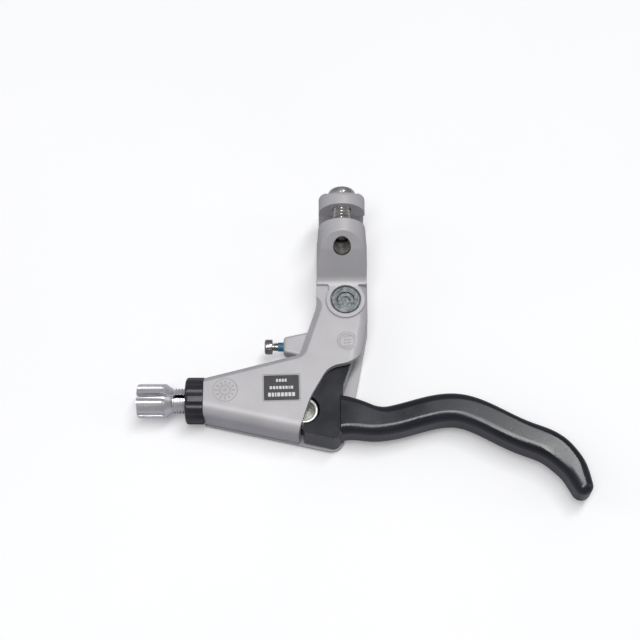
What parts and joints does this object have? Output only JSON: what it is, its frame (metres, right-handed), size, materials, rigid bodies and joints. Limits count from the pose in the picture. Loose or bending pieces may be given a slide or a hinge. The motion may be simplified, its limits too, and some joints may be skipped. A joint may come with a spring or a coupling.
{
  "type": "bicycle brake lever",
  "caption": "Right-hand linear-pull brake lever for a flat handlebar: hinged bar clamp body, pivoting finger blade, swivelling cable hook and barrel adjuster.",
  "frame": {"origin": "centre of the handlebar bore, halfway across the clamp", "axes": "+X along the handlebar towards the blade's tip, +Y from the blade across the bar to the clamp bolt's head, +Z out of the face that carries the label"},
  "size_m": [0.1585, 0.1121, 0.0366],
  "materials": {
    "body_paint": "satin silver paint on cast aluminium",
    "label_foil": "printed foil, satin",
    "zinc_steel": "zinc-plated, slightly mottled",
    "blade_coat": "gloss black coat, matt at the root",
    "bushing_plastic": "moulded acetal",
    "hook_nickel": "bright nickel",
    "adjuster_alloy": "turned and polished",
    "lock_ring_plastic": "moulded, satin gloss",
    "screw_nickel": "nickel-plated steel",
    "bolt_chrome": "chrome-plated steel"
  },
  "bodies": {
    "root": {"bracket_body": "body_paint", "label_plate": "label_foil", "pivot_axle": "zinc_steel", "pivot_screw": "zinc_steel", "pivot_nut": "zinc_steel", "clamp_bolt": "bolt_chrome"},
    "blade": {"lever_blade": "blade_coat", "pivot_bushing_near": "bushing_plastic", "pivot_bushing_far": "bushing_plastic", "hook_pin": "hook_nickel"},
    "hook": {"cable_hook": "hook_nickel"},
    "adjuster": {"barrel_adjuster": "adjuster_alloy"},
    "ring": {"lock_ring": "lock_ring_plastic"},
    "reach": {"reach_screw": "screw_nickel"}
  },
  "joints": [
    {"name": "lever_pivot", "type": "hinge", "parent": "root", "child": "blade", "pos_m": [0.0014, -0.0263, -0.0075], "axis": [0, 0, 1], "range_deg": [0, 35]},
    {"name": "hook_swivel", "type": "hinge", "parent": "blade", "child": "hook", "pos_m": [-0.0132, -0.0668, -0.0075], "axis": [0, 0, 1], "range_deg": [-36, 1]},
    {"name": "adjuster_travel", "type": "slide", "parent": "root", "child": "adjuster", "axis": [-1, 0, 0], "range_m": [-0.003, 0.005]},
    {"name": "lock_ring_turn", "type": "hinge", "parent": "root", "child": "ring", "pos_m": [-0.052, -0.0617, -0.0075], "axis": [1, 0, 0], "continuous": true},
    {"name": "reach_screw_travel", "type": "slide", "parent": "root", "child": "reach", "axis": [1, 0, 0], "range_m": [-0.0015, 0.0024]}
  ],
  "couplings": [
    {"joint": "hook_swivel", "follows": "lever_pivot", "ratio": -1}
  ]
}
